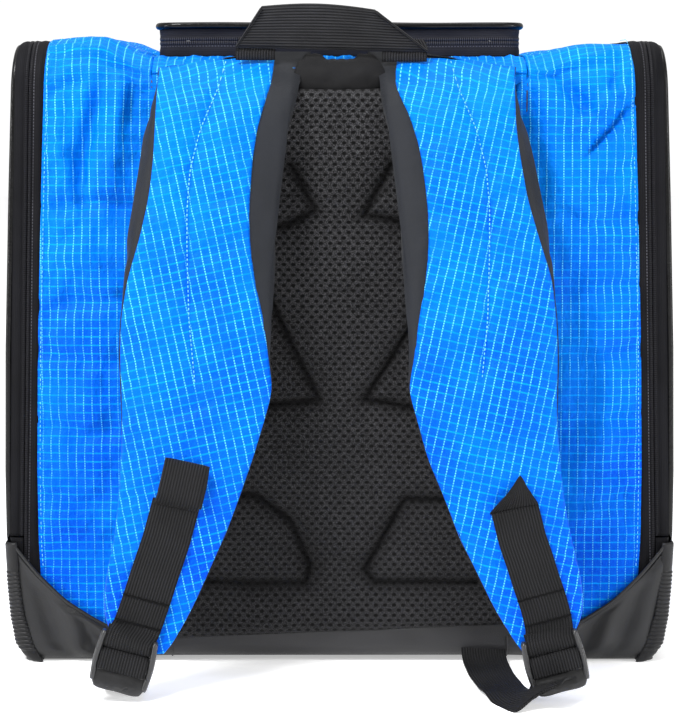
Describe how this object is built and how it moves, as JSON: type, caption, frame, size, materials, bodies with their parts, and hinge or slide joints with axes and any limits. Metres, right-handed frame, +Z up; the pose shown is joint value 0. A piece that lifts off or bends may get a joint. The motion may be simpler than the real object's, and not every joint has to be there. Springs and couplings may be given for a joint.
{
  "type": "ski boot bag",
  "caption": "Box-shaped backpack for ski boots: two side compartments with fold-down zipped doors, zipped lid, padded straps, coated base with ribbed corner guards.",
  "frame": {"origin": "on the floor, at the middle of the bag's base footprint", "axes": "+X across the bag to the wearer's right-hand door as seen facing the straps, -Y the side with the shoulder straps, +Z up"},
  "size_m": [0.4362, 0.4673, 0.4215],
  "materials": {
    "ripstop": "blue ripstop nylon with a light grid",
    "zip_tape": "woven zip tape with a coil",
    "piping": "coated piping with a soft gloss",
    "lining": "plain lining cloth",
    "spacer_mesh": "black spacer mesh",
    "foam": "covered closed-cell foam",
    "frame_sheet": "polyethylene sheet",
    "tarpaulin": "coated tarpaulin, satin",
    "guard_rubber": "moulded rubber",
    "webbing": "ribbed nylon webbing",
    "acetal": "moulded acetal",
    "slider_metal": "painted die casting",
    "pull_plastic": "moulded pull"
  },
  "bodies": {
    "bag": {"rear_panel": "ripstop", "front_panel": "ripstop", "top_rim_rear": "ripstop", "top_rim_front": "ripstop", "left_boot_shell": "ripstop", "right_boot_shell": "ripstop", "left_divider": "lining", "right_divider": "lining", "back_frame_sheet": "frame_sheet", "base_board": "frame_sheet", "back_pad_foam": "foam", "back_pad_mesh": "spacer_mesh", "strap_yoke": "tarpaulin", "base_floor": "tarpaulin", "base_rear_wall": "tarpaulin", "base_front_wall": "tarpaulin", "base_left_wall": "tarpaulin", "base_right_wall": "tarpaulin", "rear_left_guard": "guard_rubber", "rear_right_guard": "guard_rubber", "front_left_guard": "guard_rubber", "front_right_guard": "guard_rubber", "left_zip_body_tape": "zip_tape", "right_zip_body_tape": "zip_tape", "lid_zip_body_tape": "zip_tape", "front_pocket_shell": "ripstop", "pocket_zip_tape": "zip_tape"},
    "lid": {"lid_panel": "ripstop", "lid_piping": "piping", "lid_zip_lid_tape": "zip_tape"},
    "left_door": {"left_door_panel": "ripstop", "left_door_piping": "piping", "left_zip_door_tape": "zip_tape"},
    "right_door": {"right_door_panel": "ripstop", "right_door_piping": "piping", "right_zip_door_tape": "zip_tape"},
    "handle": {"handle_grip": "webbing", "handle_ends": "webbing"},
    "left_strap": {"left_strap_lining": "spacer_mesh", "left_strap_foam": "foam", "left_strap_cover": "ripstop", "left_strap_webbing": "webbing"},
    "right_strap": {"right_strap_lining": "spacer_mesh", "right_strap_foam": "foam", "right_strap_cover": "ripstop", "right_strap_webbing": "webbing"},
    "left_buckle_body": {"left_buckle": "acetal", "left_adjuster_tail": "webbing"},
    "right_buckle_body": {"right_buckle": "acetal", "right_adjuster_tail": "webbing"},
    "left_adjuster": {"left_adjuster_webbing": "webbing"},
    "right_adjuster": {"right_adjuster_webbing": "webbing"},
    "left_slider": {"left_door_slider": "slider_metal"},
    "right_slider": {"right_door_slider": "slider_metal"},
    "lid_slider_body": {"lid_slider": "slider_metal"},
    "pocket_slider_body": {"pocket_slider": "slider_metal"},
    "left_pull": {"left_door_pull": "pull_plastic"},
    "right_pull": {"right_door_pull": "pull_plastic"},
    "lid_pull_body": {"lid_pull": "pull_plastic"},
    "pocket_pull_body": {"pocket_pull": "pull_plastic"}
  },
  "joints": [
    {"name": "lid_fold", "type": "hinge", "parent": "bag", "child": "lid", "pos_m": [0, 0.14, 0.4082], "axis": [-1, 0, 0], "range_deg": [0, 110], "stiffness_Nm_per_rad": 0.02},
    {"name": "left_door_fold", "type": "hinge", "parent": "bag", "child": "left_door", "pos_m": [-0.2168, 0, 0.0805], "axis": [0, -1, 0], "range_deg": [0, 95], "stiffness_Nm_per_rad": 0.05},
    {"name": "right_door_fold", "type": "hinge", "parent": "bag", "child": "right_door", "pos_m": [0.2168, 0, 0.0805], "axis": [0, 1, 0], "range_deg": [0, 95], "stiffness_Nm_per_rad": 0.05},
    {"name": "handle_swing", "type": "hinge", "parent": "bag", "child": "handle", "pos_m": [0, -0.157, 0.3895], "axis": [1, 0, 0], "range_deg": [-45, 60], "stiffness_Nm_per_rad": 0.02},
    {"name": "left_strap_swing", "type": "hinge", "parent": "bag", "child": "left_strap", "pos_m": [0, -0.163, 0.3865], "axis": [-1, 0, 0], "range_deg": [0, 20], "stiffness_Nm_per_rad": 0.05},
    {"name": "left_buckle_pivot", "type": "hinge", "parent": "left_strap", "child": "left_buckle_body", "pos_m": [-0.12848, -0.2594, 0.03764], "axis": [-0.9659, 0, 0.2588], "range_deg": [0, 60], "stiffness_Nm_per_rad": 0.002},
    {"name": "left_adjuster_lift", "type": "hinge", "parent": "bag", "child": "left_adjuster", "pos_m": [-0.094, -0.1632, 0.008], "axis": [-1, 0, 0], "range_deg": [0, 10]},
    {"name": "left_zip_travel", "type": "slide", "parent": "bag", "child": "left_slider", "axis": [0.0262, 0, 0.9997], "range_m": [0, 0.245]},
    {"name": "left_pull_flip", "type": "hinge", "parent": "left_slider", "child": "left_pull", "pos_m": [-0.20476, 0.1643, 0.112], "axis": [0.9997, 0, -0.0262], "range_deg": [0, 165]},
    {"name": "right_strap_swing", "type": "hinge", "parent": "bag", "child": "right_strap", "pos_m": [0, -0.163, 0.3865], "axis": [-1, 0, 0], "range_deg": [0, 20], "stiffness_Nm_per_rad": 0.05},
    {"name": "right_buckle_pivot", "type": "hinge", "parent": "right_strap", "child": "right_buckle_body", "pos_m": [0.12848, -0.2594, 0.03764], "axis": [-0.9659, 0, -0.2588], "range_deg": [0, 60], "stiffness_Nm_per_rad": 0.002},
    {"name": "right_adjuster_lift", "type": "hinge", "parent": "bag", "child": "right_adjuster", "pos_m": [0.094, -0.1632, 0.008], "axis": [-1, 0, 0], "range_deg": [0, 10]},
    {"name": "right_zip_travel", "type": "slide", "parent": "bag", "child": "right_slider", "axis": [-0.0262, 0, 0.9997], "range_m": [0, 0.245]},
    {"name": "right_pull_flip", "type": "hinge", "parent": "right_slider", "child": "right_pull", "pos_m": [0.20476, 0.1643, 0.112], "axis": [0.9997, 0, 0.0262], "range_deg": [0, 165]},
    {"name": "lid_zip_travel", "type": "slide", "parent": "bag", "child": "lid_slider_body", "axis": [0, -1, 0], "range_m": [0, 0.215]},
    {"name": "lid_pull_flip", "type": "hinge", "parent": "lid_slider_body", "child": "lid_pull_body", "pos_m": [0.1223, 0.118, 0.4032], "axis": [0, 0, -1], "range_deg": [0, 165]},
    {"name": "pocket_zip_travel", "type": "slide", "parent": "bag", "child": "pocket_slider_body", "axis": [-1, 0, 0], "range_m": [0, 0.144]},
    {"name": "pocket_pull_flip", "type": "hinge", "parent": "pocket_slider_body", "child": "pocket_pull_body", "pos_m": [0.072, 0.1767, 0.322], "axis": [0, 0, 1], "range_deg": [0, 165]}
  ],
  "couplings": [
    {"joint": "left_adjuster_lift", "follows": "left_strap_swing", "ratio": 0.4},
    {"joint": "right_adjuster_lift", "follows": "right_strap_swing", "ratio": 0.4}
  ]
}
